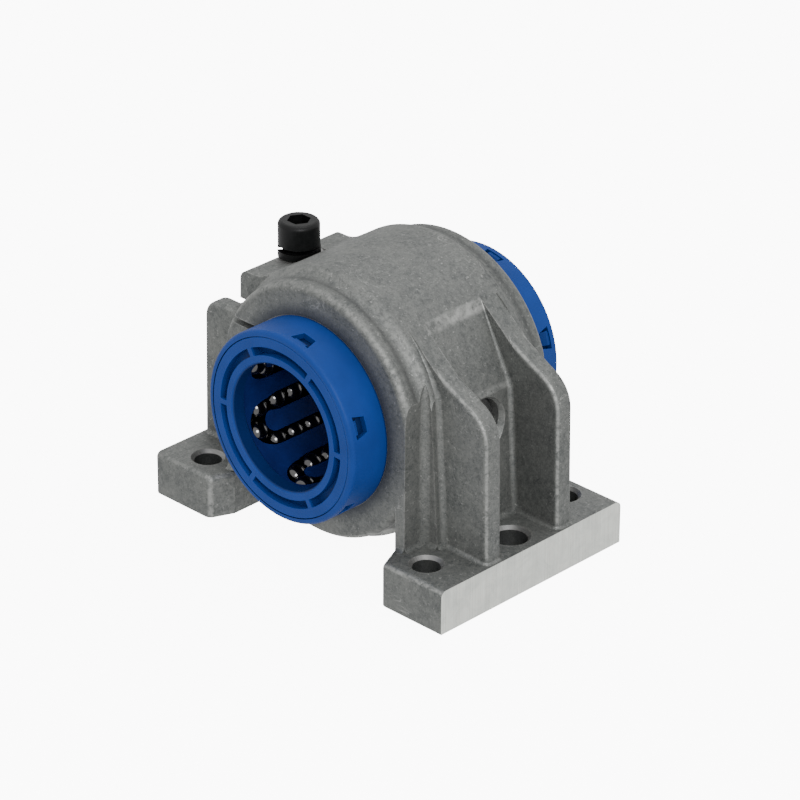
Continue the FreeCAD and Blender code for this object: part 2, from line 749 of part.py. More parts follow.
def circuit_path(index):
    """the balls' centre line: loaded lane, ramp, turn, return lane, turn and ramp"""
    outward, sideways = circuit_frame(index)
    track = value("track_radius")
    turn_radius = value("turn_radius")
    lane_end = value("lane_half_length")
    ramp = value("ramp_length")
    tilt = math.radians(value("lane_angle"))
    loaded = (outward * math.cos(tilt) - sideways * math.sin(tilt)) * track
    lifted = outward * track - sideways * turn_radius
    returned = outward * track + sideways * turn_radius
    crown = outward * track

    def at(place, along):
        return place + Z_AXIS * along
    start = at(loaded, -lane_end + ramp)
    finish = at(loaded, lane_end - ramp)
    return [
        Part.LineSegment(start, finish),
        Part.LineSegment(finish, at(lifted, lane_end)),
        Part.Arc(at(lifted, lane_end), at(crown, lane_end + turn_radius), at(returned, lane_end)),
        Part.LineSegment(at(returned, lane_end), at(returned, -lane_end)),
        Part.Arc(at(returned, -lane_end), at(crown, -lane_end - turn_radius), at(lifted, -lane_end)),
        Part.LineSegment(at(lifted, -lane_end), start),
    ]


def chain(points, pitch, limit):
    """centres set along the points, each a straight pitch from the one before"""
    centres = [points[0]]
    for before, after in zip(points, points[1:]):
        if after.distanceToPoint(centres[-1]) >= pitch:
            short = pitch - before.distanceToPoint(centres[-1])
            centres.append(before + (after - before).normalize() * short)
            if len(centres) == limit:
                break
    return centres


def ball_centres(index):
    """as many balls as the circuit holds, evenly apart in a straight line from ball to ball"""
    wire = Part.Wire([piece.toShape() for piece in circuit_path(index)])
    points = wire.discretize(Number=PATH_SAMPLES)
    closest = value("ball_diameter + ball_gap")
    packed = chain(points, closest, PATH_SAMPLES)
    count = len(packed)
    if packed[-1].distanceToPoint(points[-1]) < closest:
        count -= 1
    low = closest
    high = 2 * closest
    for _ in range(PITCH_STEPS):
        pitch = (low + high) / 2
        centres = chain(points, pitch, count)
        open_end = len(centres) < count or centres[-1].distanceToPoint(points[-1]) < pitch
        if open_end:
            high = pitch
        else:
            low = pitch
    return chain(points, low, count)


def make_ball_circuit(index):
    """one closed chain of loose balls"""
    radius = value("ball_diameter / 2")
    feature = document.addObject("Part::Feature", "ball_circuit_%d" % (index + 1))
    feature.Label = feature.Name
    feature.Shape = Part.makeCompound([Part.makeSphere(radius, centre) for centre in ball_centres(index)])
    lay_along_shaft(feature)
    return feature


def channel(index):
    """the room that one circuit's balls run in, round in section"""
    wire = Part.Wire([piece.toShape() for piece in circuit_path(index)])
    first = wire.Edges[0]
    radius = value("ball_diameter / 2 + track_clearance")
    section = Part.makeCircle(radius, first.valueAt(first.FirstParameter), first.tangentAt(first.FirstParameter))
    return wire.makePipeShell([Part.Wire(section)], True, False)


def sector(inner, outer, half_length, angle, middle_angle):
    """a block between two radii, an angle wide, about the bushing's axis"""
    start = FreeCAD.Vector(inner, 0, -half_length)
    section = Part.makePolygon([
        start, FreeCAD.Vector(outer, 0, -half_length), FreeCAD.Vector(outer, 0, half_length),
        FreeCAD.Vector(inner, 0, half_length), start,
    ])
    block = Part.Face(section).revolve(FreeCAD.Vector(), Z_AXIS, angle)
    block.rotate(FreeCAD.Vector(), Z_AXIS, middle_angle - angle / 2)
    return block


def make_ball_retainer():
    """thick moulded cage with six racetrack channels, open inwards to the shaft"""
    half = value("cap_inside - retainer_end_gap")
    outer = value("cap_outer")
    inner = value("shaft_diameter / 2 + retainer_bore_gap")
    neck = value("cap_outer - cap_skirt_wall - cap_clearance")
    step = value("skirt_end - cap_clearance")
    wide = Part.makeCylinder(outer, 2 * step, FreeCAD.Vector(0, 0, -step))
    long = Part.makeCylinder(neck, 2 * half, FreeCAD.Vector(0, 0, -half))
    hollow = Part.makeCylinder(inner, 4 * half, FreeCAD.Vector(0, 0, -2 * half))
    shape = wide.fuse(long).cut(hollow)
    beyond = outer + value(CUT_MARGIN)
    clearance = value("plate_clearance")
    for index in range(int(value("circuit_count"))):
        angle = value("loaded_angle + %d * circuit_pitch" % index)
        seat = sector(value("raceway_radius") - clearance, beyond, value("plate_length / 2") + clearance,
                      value("plate_window_angle"), angle)
        shape = shape.cut(seat).cut(channel(index))
    feature = document.addObject("Part::Feature", "ball_retainer")
    feature.Label = feature.Name
    feature.Shape = shape
    lay_along_shaft(feature)
    return feature


parts.append(make_outer_sleeve())
parts.append(make_ball_retainer())
parts.append(make_end_cap("end_cap_front", flipped=False))
parts.append(make_end_cap("end_cap_rear", flipped=True))
for circuit in range(int(SIZES["circuit_count"])):
    parts.append(make_load_plate(circuit))
    parts.append(make_ball_circuit(circuit))


# Screws and washer

def hexagon(flats):
    """corners of a hexagon, a corner on the sketch's level axis"""
    radius = "(%s) / sqrt(3)" % flats
    return [("%s * cos(%d)" % (radius, angle), "%s * sin(%d)" % (radius, angle)) for angle in range(0, 360, 60)]


def cut_socket(body, flats, top, depth):
    sketch = new_sketch(body, body.Name + "_socket", "XY_Plane")
    lift_sketch(sketch, top)
    draw_outline(sketch, hexagon(flats))
    extrude(body, sketch, "Pocket", depth)


def make_adjusting_screw():
    """socket head screw that draws the ear down and closes the slot"""
    body = new_body("adjusting_screw")
    head = "screw_head_dia / 2"
    shank = "screw_dia / 2"
    top = "screw_head_height"
    tip = "screw_length"
    sketch = new_sketch(body, "screw_profile", "XZ_Plane")
    draw_outline(sketch, [
        ("0", "-" + tip), (shank + " - screw_tip_chamfer", "-" + tip), (shank, "-%s + screw_tip_chamfer" % tip),
        (shank, "0"), (head, "0"), (head, top), ("0", top),
    ])
    turn(body, sketch, "Revolution")
    level = value(top)
    dress(body, "head_round", "Fillet", "screw_head_round", lambda edge: near(middle(edge).z, level))
    cut_socket(body, "screw_socket_flats", top, "screw_socket_depth")
    bind(body, "Placement.Base.x", "-screw_offset")
    bind(body, "Placement.Base.z", "head_seat")
    return body


def make_lock_washer():
    """one open turn of square spring wire, standing at its free height"""
    width = value("(washer_outer_dia - washer_inner_dia) / 2")
    thick = value("washer_thickness")
    mean = value("(washer_outer_dia + washer_inner_dia) / 4")
    rise = value("washer_free_height - washer_thickness")
    turned = value("washer_turn / 360")
    helix = Part.makeHelix(rise / turned, rise, mean)
    corners = [
        FreeCAD.Vector(mean + side * width / 2, 0, up * thick / 2)
        for side, up in ((-1, -1), (1, -1), (1, 1), (-1, 1), (-1, -1))
    ]
    section = Part.makePolygon(corners)
    coil = Part.Wire(helix).makePipeShell([section], True, True)
    feature = document.addObject("Part::Feature", "lock_washer")
    feature.Label = feature.Name
    feature.Shape = coil
    feature.Placement.Rotation = FreeCAD.Rotation(Z_AXIS, value("washer_gap_angle"))
    bind(feature, "Placement.Base.x", "-screw_offset")
    bind(feature, "Placement.Base.z", "ear_top + washer_thickness / 2")
    return feature


def make_locating_screw():
    """hollow set screw in the side wall; its dog keeps the bushing from turning"""
    body = new_body("locating_screw")
    outer = "port_dia / 2 - thread_clearance"
    dog = "locator_dog_dia / 2"
    vent = "locator_vent_dia / 2"
    length = "locator_length"
    sketch = new_sketch(body, "locator_profile", "XZ_Plane")
    draw_outline(sketch, [
        (vent, "-dog_length"), (dog, "-dog_length"), (dog, "0"), (outer + " - locator_chamfer", "0"),
        (outer, "locator_chamfer"), (outer, length + " - locator_chamfer"),
        (outer + " - locator_chamfer", length), (vent, length),
    ])
    turn(body, sketch, "Revolution")
    cut_socket(body, "locator_socket_flats", length, "locator_socket_depth")
    body.Placement.Rotation = FreeCAD.Rotation(Y_AXIS, 90)
    bind(body, "Placement.Base.x", "locator_seat")
    bind(body, "Placement.Base.z", "axis_height")
    return body


parts.append(make_adjusting_screw())
parts.append(make_lock_washer())
parts.append(make_locating_screw())

document.recompute()
for thing in document.Objects:
    if "Invalid" in thing.State or "Error" in thing.State:
        raise RuntimeError("%s did not build: %s" % (thing.Name, thing.State))
for part in parts:
    if part.Shape.isNull() or not part.Shape.isValid():
        raise RuntimeError(part.Label + " has no valid shape")

os.makedirs("parts", exist_ok=True)
for part in parts:
    part.Shape.exportStep("parts/%s.step" % part.Label)
    box = part.Shape.BoundBox
    print("%-18s solids %2d  volume %10.1f  x %6.1f %6.1f  y %6.1f %6.1f  z %6.1f %6.1f" % (
        part.Label, len(part.Shape.Solids), part.Shape.Volume,
        box.XMin, box.XMax, box.YMin, box.YMax, box.ZMin, box.ZMax))
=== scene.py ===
import json
import math

import bmesh
import bpy
from mathutils import Matrix, Vector


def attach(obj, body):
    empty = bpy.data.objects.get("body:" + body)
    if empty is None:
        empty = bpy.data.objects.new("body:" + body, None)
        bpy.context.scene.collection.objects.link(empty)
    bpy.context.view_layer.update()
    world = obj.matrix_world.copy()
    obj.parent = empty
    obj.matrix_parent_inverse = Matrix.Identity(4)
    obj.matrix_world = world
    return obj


# Looks of the linear bearing block: camera, floor, light and the finish of every piece.
# Metres throughout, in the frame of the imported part: +Z up, +Y along the shaft.

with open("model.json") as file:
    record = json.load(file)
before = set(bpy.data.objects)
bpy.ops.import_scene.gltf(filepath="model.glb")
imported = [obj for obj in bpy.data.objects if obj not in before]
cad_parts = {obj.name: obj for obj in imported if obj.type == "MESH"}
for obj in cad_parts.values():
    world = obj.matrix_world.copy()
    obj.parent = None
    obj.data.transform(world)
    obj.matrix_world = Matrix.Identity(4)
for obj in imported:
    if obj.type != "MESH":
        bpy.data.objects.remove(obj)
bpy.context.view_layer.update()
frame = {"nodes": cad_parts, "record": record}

MM = 0.001


# Camera, at the photograph's viewing angle

CAMERA_AZIMUTH = math.radians(44.329)
CAMERA_ELEVATION = math.radians(27.651)
CAMERA_ROLL = math.radians(0.255)
CAMERA_DISTANCE = 989.5 * MM
CAMERA_SIDE = -3.66 * MM
CAMERA_RISE = -27.41 * MM
CAMERA_CLIP = (0.05, 20.0)
FOCAL_PIXELS = 4192.7
FRAME_PIXELS = 800
SENSOR_WIDTH = 36.0


def make_camera():
    back = Vector((
        math.sin(CAMERA_AZIMUTH) * math.cos(CAMERA_ELEVATION),
        -math.cos(CAMERA_AZIMUTH) * math.cos(CAMERA_ELEVATION),
        math.sin(CAMERA_ELEVATION),
    ))
    level = Vector((math.cos(CAMERA_AZIMUTH), math.sin(CAMERA_AZIMUTH), 0.0))
    upright = back.cross(level)
    right = level * math.cos(CAMERA_ROLL) + upright * math.sin(CAMERA_ROLL)
    up = upright * math.cos(CAMERA_ROLL) - level * math.sin(CAMERA_ROLL)
    data = bpy.data.cameras.new("camera")
    data.sensor_width = SENSOR_WIDTH
    data.lens = FOCAL_PIXELS / FRAME_PIXELS * SENSOR_WIDTH
    data.clip_start, data.clip_end = CAMERA_CLIP
    camera = bpy.data.objects.new("camera", data)
    bpy.context.scene.collection.objects.link(camera)
    place = back * CAMERA_DISTANCE - right * CAMERA_SIDE - up * CAMERA_RISE
    turned = Matrix((right, up, back)).transposed()
    camera.matrix_world = Matrix.Translation(place) @ turned.to_4x4()
    bpy.context.scene.camera = camera


make_camera()


# Material building

EVEN_SPREAD = [(0.3, 0.0), (0.7, 1.0)]
EDGE_STOPS = [(0.006, 0.0), (0.07, 1.0)]
ROUNDING_STOPS = [(0.45, 0.0), (0.95, 1.0)]
BEVEL_SAMPLES = 4


class Graph:
    """a material's node tree, with short calls for the nodes that the finishes share"""

    def __init__(self, name):
        self.material = bpy.data.materials.new(name)
        self.material.use_nodes = True
        self.tree = self.material.node_tree
        self.tree.nodes.clear()
        output = self.node("ShaderNodeOutputMaterial")
        self.shader = self.node("ShaderNodeBsdfPrincipled")
        self.link(self.shader.outputs["BSDF"], output.inputs["Surface"])
        self.place = self.node("ShaderNodeTexCoord").outputs["Object"]

    def node(self, kind, **settings):
        item = self.tree.nodes.new(kind)
        for key, setting in settings.items():
            setattr(item, key, setting)
        return item

    def link(self, source, target):
        self.tree.links.new(source, target)

    def feed(self, socket, source):
        """links a socket, or sets a plain value or colour"""
        if isinstance(source, bpy.types.NodeSocket):
            self.link(source, socket)
        elif isinstance(source, tuple):
            socket.default_value = (*source, 1.0)
        else:
            socket.default_value = source

    def surface(self, **sources):
        """feeds the shader's own sockets, named in lower case"""
        for key, source in sources.items():
            self.feed(self.shader.inputs[SHADER_SOCKETS[key]], source)
        return self.material

    # numbers and lengths

    def math(self, operation, first, second=0.0):
        item = self.node("ShaderNodeMath", operation=operation)
        self.feed(item.inputs[0], first)
        self.feed(item.inputs[1], second)
        return item.outputs["Value"]

    def size_of(self, source):
        return self.math("ABSOLUTE", source)

    def part_of_place(self, axis):
        item = self.node("ShaderNodeSeparateXYZ")
        self.link(self.place, item.inputs["Vector"])
        return item.outputs[axis]

    def stretch(self, factors, place=None):
        item = self.node("ShaderNodeVectorMath", operation="MULTIPLY")
        self.link(place or self.place, item.inputs[0])
        item.inputs[1].default_value = factors
        return item.outputs["Vector"]

    def away_from(self, first, second, axes):
        """distance from a straight line that runs along the one axis not named"""
        moved = self.node("ShaderNodeVectorMath", operation="SUBTRACT")
        self.link(self.place, moved.inputs[0])
        spot = dict(zip(axes, (first, second)))
        moved.inputs[1].default_value = [spot.get(axis, 0.0) for axis in "XYZ"]
        flat = self.stretch([1.0 if axis in axes else 0.0 for axis in "XYZ"], moved.outputs["Vector"])
        item = self.node("ShaderNodeVectorMath", operation="LENGTH")
        self.link(flat, item.inputs[0])
        return item.outputs["Value"]

    def from_axis(self):
        """distance from the bore's axis"""
        return self.away_from(0.0, AXIS_HEIGHT, "XZ")

    def along(self, direction):
        """how far a point lies along a direction"""
        item = self.node("ShaderNodeVectorMath", operation="DOT_PRODUCT")
        self.link(self.place, item.inputs[0])
        item.inputs[1].default_value = direction
        return item.outputs["Value"]

    # masks, from 0 to 1

    def over(self, source, limit):
        return self.math("GREATER_THAN", source, limit)

    def under(self, source, limit):
        return self.math("LESS_THAN", source, limit)

    def below(self, source, limit, soft=0.1 * MM):
        """1 where a length is under a limit, with a soft border"""
        item = self.node("ShaderNodeMapRange", interpolation_type="SMOOTHSTEP")
        self.feed(item.inputs["Value"], source)
        item.inputs["From Min"].default_value = limit - soft
        item.inputs["From Max"].default_value = limit + soft
        item.inputs["To Min"].default_value = 1.0
        item.inputs["To Max"].default_value = 0.0
        return item.outputs["Result"]

    def near(self, source, middle, reach, soft=0.1 * MM):
        """1 where a length is within a reach of a middle value, with a soft border"""
        return self.below(self.size_of(self.math("SUBTRACT", source, middle)), reach, soft)

    def both(self, *masks):
        product = masks[0]
        for mask in masks[1:]:
            product = self.math("MULTIPLY", product, mask)
        return product

    def either(self, *masks):
        most = masks[0]
        for mask in masks[1:]:
            most = self.math("MAXIMUM", most, mask)
        return most

    def ramp(self, source, stops):
        """a curve through (input, output) stops"""
        item = self.node("ShaderNodeValToRGB")
        self.link(source, item.inputs["Fac"])
        ramp = item.color_ramp
        while len(ramp.elements) < len(stops):
            ramp.elements.new(0.5)
        for element, (spot, level) in zip(ramp.elements, stops):
            element.position = spot
            element.color = (level, level, level, 1.0)
        return item.outputs["Color"]

    def noise(self, scale, detail=4.0, roughness=0.55, place=None, distortion=0.0):
        item = self.node("ShaderNodeTexNoise")
        self.link(place or self.place, item.inputs["Vector"])
        item.inputs["Scale"].default_value = scale
        item.inputs["Detail"].default_value = detail
        item.inputs["Roughness"].default_value = roughness
        item.inputs["Distortion"].default_value = distortion
        return item.outputs["Fac"]

    def lines(self, scale, width, distortion):
        """thin wandering lines, the level curves of a noise"""
        field = self.noise(scale, 2.0, 0.5, distortion=distortion)
        return self.near(field, 0.5, width, width * 0.8)

    def edges(self, width):
        """1 at the edges of the piece, from the difference between a rounded and the true normal"""
        rounded = self.node("ShaderNodeBevel", samples=BEVEL_SAMPLES)
        rounded.inputs["Radius"].default_value = width
        geometry = self.node("ShaderNodeNewGeometry")
        item = self.node("ShaderNodeVectorMath", operation="DOT_PRODUCT")
        self.link(rounded.outputs["Normal"], item.inputs[0])
        self.link(geometry.outputs["Normal"], item.inputs[1])
        return self.ramp(self.math("SUBTRACT", 1.0, item.outputs["Value"]), EDGE_STOPS)

    def rounding(self, axis):
        """1 where a rounded edge leans halfway between one axis and the plane across it"""
        geometry = self.node("ShaderNodeNewGeometry")
        item = self.node("ShaderNodeSeparateXYZ")
        self.link(geometry.outputs["Normal"], item.inputs["Vector"])
        lean = self.math("POWER", item.outputs[axis], 2.0)
        spread = self.both(lean, self.math("SUBTRACT", 1.0, lean))
        return self.ramp(self.both(spread, 4.0), ROUNDING_STOPS)

    # mixes

    def mix(self, kind, factor, first, second):
        item = self.node("ShaderNodeMix", data_type=kind)
        self.feed(item.inputs["Factor"], factor)
        self.feed(item.inputs["A"], first)
        self.feed(item.inputs["B"], second)
        return item.outputs["Result"]

    def mix_colour(self, factor, first, second):
        return self.mix("RGBA", factor, first, second)

    def mix_value(self, factor, first, second):
        return self.mix("FLOAT", factor, first, second)

    def mix_normal(self, factor, first, second):
        item = self.node("ShaderNodeMix", data_type="VECTOR")
        self.feed(item.inputs["Factor"], factor)
        self.link(first, item.inputs[VECTOR_A])
        self.link(second, item.inputs[VECTOR_B])
        return item.outputs[VECTOR_RESULT]

    def layered(self, colour, *layers):
        """a colour with others laid over it, each given as a mask and a colour"""
        for mask, over in layers:
            colour = self.mix_colour(mask, colour, over)
        return colour

    def bump(self, height, distance, strength=1.0, normal=None):
        item = self.node("ShaderNodeBump")
        item.inputs["Distance"].default_value = distance
        item.inputs["Strength"].default_value = strength
        self.link(height, item.inputs["Height"])
        if normal is not None:
            self.link(normal, item.inputs["Normal"])
        return item.outputs["Normal"]


SHADER_SOCKETS = {
    "colour": "Base Color",
    "metallic": "Metallic",
    "roughness": "Roughness",
    "specular": "Specular IOR Level",
    "normal": "Normal",
    "glow": "Emission Color",
    "glow_strength": "Emission Strength",
}

# a mix node's vector sockets share their names with its other sockets, so they go by number
VECTOR_A = 4
VECTOR_B = 5
VECTOR_RESULT = 1


# Places on the block that its finishes follow

AXIS_HEIGHT = 36.3 * MM
BORE_RADIUS = 23.6 * MM
SIDE_PLANE = 47.45 * MM
BASE_PLANE = 0.06 * MM
FACE_DEPTH = 0.06 * MM
CAST_EDGE = 0.5 * MM

SCREW_ACROSS = -28.2 * MM
SCREW_HOLE_RADIUS = 3.4 * MM
SPOT_FACE_RADIUS = 6.3 * MM
EAR_TOP = 59.0 * MM
SHANK_RADIUS = 3.04 * MM
SHANK_TOP = 61.0 * MM
THREAD_PITCH = 1.0 * MM
THREAD_DEPTH = 0.55 * MM

FOOT_HOLES = [(side * 36.0 * MM, end * 23.0 * MM, 4.3 * MM) for side in (-1, 1) for end in (-1, 1)]
FOOT_HOLES += [(side * 40.5 * MM, 0.0, 5.0 * MM) for side in (-1, 1)]
HOLE_TOP = 10.98 * MM
RIM_BOTTOM = 10.15 * MM
FOOT_EDGE_TOP = 11.5 * MM
LEFT_FOOT = -30.0 * MM

FLAT_ANGLE = math.radians(28.0)
FLAT_DEPTH = 30.7 * MM
FLAT_TOP = 10.9 * MM
FLAT_KNEE = -8.2 * MM
POCKET_HALF = 9.3 * MM

FLARE_RADIUS = 33.4 * MM
COLLAR_ROOT = 17.9 * MM
COLLAR_VALLEY = 19.4 * MM
COLLAR_END = 22.5 * MM
COLLAR_INSIDE = 28.9 * MM
COLLAR_RIM_RADIUS = 30.9 * MM
COLLAR_FLAT_TOP = 47.9 * MM
SEAT_RADIUS = 25.2 * MM

CAP_BORE = 15.7 * MM
RECESS_INNER = 17.52 * MM
RECESS_OUTER = 19.48 * MM
RECESS_END = 33.4 * MM
SEAM_RADIUS = 21.95 * MM
SLEEVE_INNER = 22.0 * MM
SLEEVE_OUTER = 23.4 * MM
WINDOW_END = 32.4 * MM
RING_ROOT = 23.3 * MM
CAGE_LAND = 16.03 * MM


# Colours

CAST_DARK = (0.105, 0.112, 0.111)
CAST_LIGHT = (0.215, 0.222, 0.213)
CAST_PALE = (0.25, 0.255, 0.243)
# dark pits in the cast skin; the same colour is laid as painted shade in the foot holes and on the collars
CAST_PIT_AND_SHADE = (0.05, 0.053, 0.053)
CAST_RUB = (0.42, 0.425, 0.41)
# painted shadow round the bushing, with a blue cast that is a painted reflection of it
SEAT_SHADE = (0.035, 0.042, 0.062)
MILLED_DARK = (0.79, 0.81, 0.75)
MILLED_LIGHT = (0.96, 0.98, 0.92)
MILLED_SMUDGE = (0.52, 0.56, 0.53)
MILLED_SCRATCH = (0.42, 0.44, 0.43)
TURNED_DARK = (0.2, 0.2, 0.197)
TURNED_LIGHT = (0.31, 0.31, 0.304)
BLUE = (0.003, 0.042, 0.24)
# the blue plastic darkened as painted shade, for the cage's bore
SHADED_CAGE_BLUE_DARK = (0.004, 0.0125, 0.092)
SHADED_CAGE_BLUE_LIGHT = (0.0055, 0.019, 0.13)
# near black for the ball tracks: greasy, and darker still as painted shade
GREASE_AND_SHADE_DARK = (0.0012, 0.0016, 0.003)
GREASE_AND_SHADE_LIGHT = (0.003, 0.004, 0.009)
# the balls' steel, darkened as painted shade to stand in for the dark surroundings that they reflect
SHADED_BALL_STEEL = (0.14, 0.138, 0.138)
PLATE_STEEL = (0.3, 0.3, 0.3)
BLACK_DARK = (0.006, 0.0062, 0.0066)
BLACK_LIGHT = (0.0105, 0.0107, 0.0112)
BLACK_RUB = (0.05, 0.05, 0.052)


def shade(colour, factor, lift=0.0):
    return tuple(min(1.0, part * factor + lift) for part in colour)


# Cast metal

def scratches(graph, fine):
    """a few wandering scratches, in some places only"""
    patchy = graph.ramp(graph.noise(70.0, 2.0, 0.5), [(0.5, 0.0), (0.62, 1.0)])
    broken = graph.ramp(fine, [(0.35, 0.0), (0.55, 0.8)])
    return graph.both(graph.lines(95.0, 0.0022, 1.2), patchy, broken)


def cast_skin(graph, fine, mottle, scratch):
    """the raw cast skin: grey mottle with pale clouds, pits, rubbed grains, flecks and scratches"""
    cloud = graph.noise(120.0, 4.0, 0.6)
    fleck = graph.noise(1300.0, 3.0, 0.6)
    grey = graph.mix_colour(graph.ramp(mottle, [(0.32, 0.0), (0.68, 1.0)]), CAST_DARK, CAST_LIGHT)
    return graph.layered(
        grey,
        (graph.ramp(cloud, [(0.35, 0.0), (0.7, 0.55)]), CAST_PALE),
        (graph.ramp(fine, [(0.28, 0.45), (0.48, 0.0)]), CAST_PIT_AND_SHADE),
        (graph.ramp(fine, [(0.54, 0.0), (0.78, 0.35)]), CAST_RUB),
        (graph.ramp(fleck, [(0.64, 0.0), (0.7, 0.7)]), CAST_RUB),
        (scratch, CAST_RUB),
    )


def worn_edges(graph, mottle):
    """edges rubbed pale, less on the barrel's flares and on the left foot"""
    lengthways = graph.rounding("Y")
    flares = graph.below(graph.from_axis(), FLARE_RADIUS)
    rubbed = graph.either(
        graph.edges(CAST_EDGE),
        graph.mix_value(flares, lengthways, graph.both(lengthways, 0.2)),
        graph.both(graph.rounding("Z"), graph.below(graph.part_of_place("Z"), FOOT_EDGE_TOP)),
    )
    grains = graph.ramp(mottle, [(0.36, 0.15), (0.58, 1.0)])
    on_left = graph.under(graph.part_of_place("X"), LEFT_FOOT)
    return graph.both(rubbed, grains, graph.mix_value(on_left, 1.0, 0.3))


def pocket_scuffs(graph):
    """scuffs on the pocket's sloping flat, at its top and at its knee"""
    normal = (math.cos(FLAT_ANGLE), 0.0, math.sin(FLAT_ANGLE))
    tangent = (-math.sin(FLAT_ANGLE), 0.0, math.cos(FLAT_ANGLE))
    outward = FLAT_DEPTH + AXIS_HEIGHT * math.sin(FLAT_ANGLE)
    upward = AXIS_HEIGHT * math.cos(FLAT_ANGLE)
    on_flat = graph.both(
        graph.near(graph.along(normal), outward, 0.25 * MM),
        graph.below(graph.size_of(graph.part_of_place("Y")), POCKET_HALF),
    )
    top_band = graph.near(graph.along(tangent), upward + FLAT_TOP, 1.4 * MM, 0.8 * MM)
    knee_band = graph.near(graph.along(tangent), upward + FLAT_KNEE, 0.9 * MM, 0.5 * MM)
    ragged = graph.ramp(graph.noise(330.0, 5.0, 0.7), [(0.4, 0.0), (0.6, 1.0)])
    return graph.both(on_flat, graph.either(top_band, graph.both(knee_band, 0.7)), ragged)


def foot_holes(graph):
    """the six holes in the feet, and the turned rims at their tops"""
    height = graph.part_of_place("Z")
    inside = graph.either(*[
        graph.under(graph.away_from(across, end, "XY"), radius) for across, end, radius in FOOT_HOLES
    ])
    holes = graph.both(inside, graph.under(height, HOLE_TOP))
    return holes, graph.both(holes, graph.over(height, RIM_BOTTOM))


def screw_seat(graph):
    """the turned spot face under the screw and the hole in it"""
    from_screw = graph.away_from(SCREW_ACROSS, 0.0, "XY")
    off_top = graph.size_of(graph.math("SUBTRACT", graph.part_of_place("Z"), EAR_TOP))
    face = graph.both(graph.under(from_screw, SPOT_FACE_RADIUS), graph.under(off_top, FACE_DEPTH))
    return graph.either(face, graph.under(from_screw, SCREW_HOLE_RADIUS))


def collar_shades(graph, mottle):
    """layers for the collars: a painted shadow round the bushing, tinted blue as a painted reflection of
    it, painted shade over the collar's upper part that deepens in the valley at its root, and a pale rim
    """
    from_axis = graph.from_axis()
    reach = graph.size_of(graph.part_of_place("Y"))
    # painted shadow round the bushing on the collar faces
    seat = graph.both(graph.over(reach, COLLAR_END), graph.below(from_axis, SEAT_RADIUS, 2.2 * MM), 0.75)
    on_collar = graph.both(
        graph.over(reach, COLLAR_ROOT),
        graph.over(from_axis, COLLAR_INSIDE),
        graph.over(graph.part_of_place("Z"), COLLAR_FLAT_TOP),
    )
    valley = graph.near(reach, COLLAR_VALLEY, 0.5 * MM, 0.9 * MM)
    rim = graph.both(
        on_collar,
        graph.near(reach, COLLAR_END, 0.7 * MM, 0.8 * MM),
        graph.near(from_axis, COLLAR_RIM_RADIUS, 0.6 * MM, 0.7 * MM),
        graph.ramp(mottle, [(0.36, 0.08), (0.62, 0.5)]),
    )
    return (
        (seat, SEAT_SHADE),
        # painted shade over the collar's upper part, deeper in the valley at its root
        (graph.both(on_collar, graph.mix_value(valley, 0.1, 0.6)), CAST_PIT_AND_SHADE),
        (rim, CAST_RUB),
    )


def cast_metal(name, wear):
    """pressure cast aluminium: dull, finely mottled skin, worn edges and bright machined faces, with
    painted shade in the foot holes and on the collars
    """
    graph = Graph(name)
    fine = graph.noise(2300.0, 4.0, 0.7)
    mottle = graph.noise(820.0, 5.0, 0.68, distortion=0.3)
    scratch = scratches(graph, fine)
    worn = worn_edges(graph, mottle)
    scuffs = pocket_scuffs(graph)
    holes, rims = foot_holes(graph)
    skin = graph.layered(
        cast_skin(graph, fine, mottle, scratch),
        (graph.both(worn, wear), CAST_RUB),
        (scuffs, CAST_RUB),
        *collar_shades(graph, mottle),
        # painted shade down the walls of the foot holes
        (graph.both(holes, 0.8), CAST_PIT_AND_SHADE),
    )

    # the milled side and base are bright; the bore, the screw's seat and the hole rims are duller
    milled_faces = graph.either(
        graph.over(graph.part_of_place("X"), SIDE_PLANE), graph.under(graph.part_of_place("Z"), BASE_PLANE),
    )
    turned_faces = graph.either(graph.under(graph.from_axis(), BORE_RADIUS), screw_seat(graph), rims)
    strokes = graph.noise(1.0, 4.0, 0.6, place=graph.stretch((700.0, 2300.0, 45.0)))
    ground = graph.ramp(strokes, EVEN_SPREAD)
    smudge = graph.ramp(graph.noise(190.0, 5.0, 0.7, distortion=0.6), [(0.42, 0.0), (0.66, 0.4)])
    milled = graph.layered(
        graph.mix_colour(ground, MILLED_DARK, MILLED_LIGHT),
        (smudge, MILLED_SMUDGE),
        (graph.both(scratch, 0.5), MILLED_SCRATCH),
    )
    rings = graph.noise(1.0, 3.0, 0.6, place=graph.stretch((60.0, 2600.0, 60.0)))
    turned = graph.mix_colour(graph.ramp(rings, EVEN_SPREAD), TURNED_DARK, TURNED_LIGHT)

    rough = graph.mix_value(graph.either(worn, scuffs), 0.62, 0.46)
    rough = graph.mix_value(turned_faces, rough, 0.42)
    rough = graph.mix_value(milled_faces, rough, graph.mix_value(ground, 0.24, 0.38))
    grain = graph.bump(mottle, 0.1 * MM, 0.5, graph.bump(fine, 0.05 * MM, 0.55))
    marks = graph.bump(strokes, 0.006 * MM, 0.4)
    return graph.surface(
        colour=graph.layered(skin, (turned_faces, turned), (milled_faces, milled)),
        metallic=0.8,
        roughness=rough,
        normal=graph.mix_normal(graph.either(milled_faces, turned_faces), grain, marks),
    )


# Plastics and steels

def fine_texture(graph):
    """a faint moulding texture, as a noise and as a normal"""
    fine = graph.noise(1700.0, 3.0, 0.6)
    return fine, graph.bump(fine, 0.015 * MM, 0.5)


